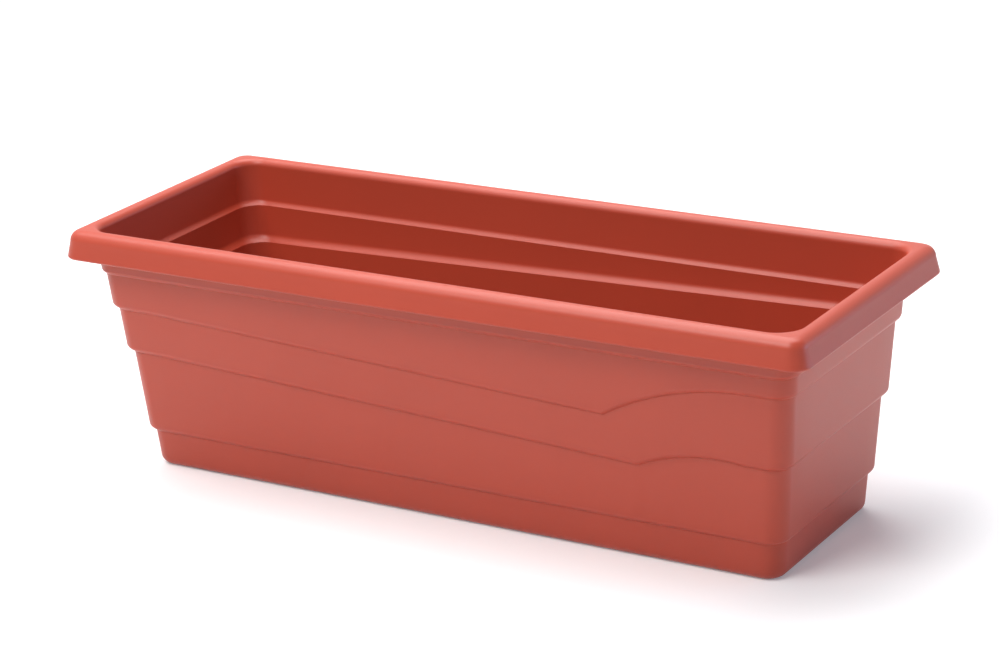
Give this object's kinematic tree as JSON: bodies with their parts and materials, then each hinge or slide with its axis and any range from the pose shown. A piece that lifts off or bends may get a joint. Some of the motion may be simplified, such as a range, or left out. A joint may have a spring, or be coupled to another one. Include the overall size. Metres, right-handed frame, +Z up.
{
  "type": "window box planter",
  "caption": "Long free-standing window box planter: a stepped tapered tub with a rolled rim, a lift-out drainage grid over a reservoir, and pull-up drain plugs.",
  "frame": {"origin": "centre of the box's outline on the surface it stands on", "axes": "+X along the box towards the end with the arches, -Y out of the long front wall, +Z up"},
  "size_m": [0.6, 0.23, 0.19],
  "materials": {
    "tub": "fine matt moulded texture, terracotta colour",
    "grid": "matt moulded, black brown",
    "plug": "matt soft moulding, dark"
  },
  "bodies": {
    "box": {"planter_box": "tub"},
    "grid_left": {"drainage_grid_left": "grid"},
    "grid_right": {"drainage_grid_right": "grid"},
    "plug_1": {"drain_plug_1": "plug"},
    "plug_2": {"drain_plug_2": "plug"},
    "plug_3": {"drain_plug_3": "plug"},
    "plug_4": {"drain_plug_4": "plug"},
    "plug_5": {"drain_plug_5": "plug"},
    "plug_6": {"drain_plug_6": "plug"}
  },
  "joints": [
    {"name": "grid_left_lift", "type": "slide", "parent": "box", "child": "grid_left", "axis": [0, 0, 1], "range_m": [0, 0.19]},
    {"name": "grid_right_lift", "type": "slide", "parent": "box", "child": "grid_right", "axis": [0, 0, 1], "range_m": [0, 0.19]},
    {"name": "plug_1_pull", "type": "slide", "parent": "box", "child": "plug_1", "axis": [0, 0, 1], "range_m": [0, 0.012]},
    {"name": "plug_2_pull", "type": "slide", "parent": "box", "child": "plug_2", "axis": [0, 0, 1], "range_m": [0, 0.012]},
    {"name": "plug_3_pull", "type": "slide", "parent": "box", "child": "plug_3", "axis": [0, 0, 1], "range_m": [0, 0.012]},
    {"name": "plug_4_pull", "type": "slide", "parent": "box", "child": "plug_4", "axis": [0, 0, 1], "range_m": [0, 0.012]},
    {"name": "plug_5_pull", "type": "slide", "parent": "box", "child": "plug_5", "axis": [0, 0, 1], "range_m": [0, 0.012]},
    {"name": "plug_6_pull", "type": "slide", "parent": "box", "child": "plug_6", "axis": [0, 0, 1], "range_m": [0, 0.012]}
  ]
}
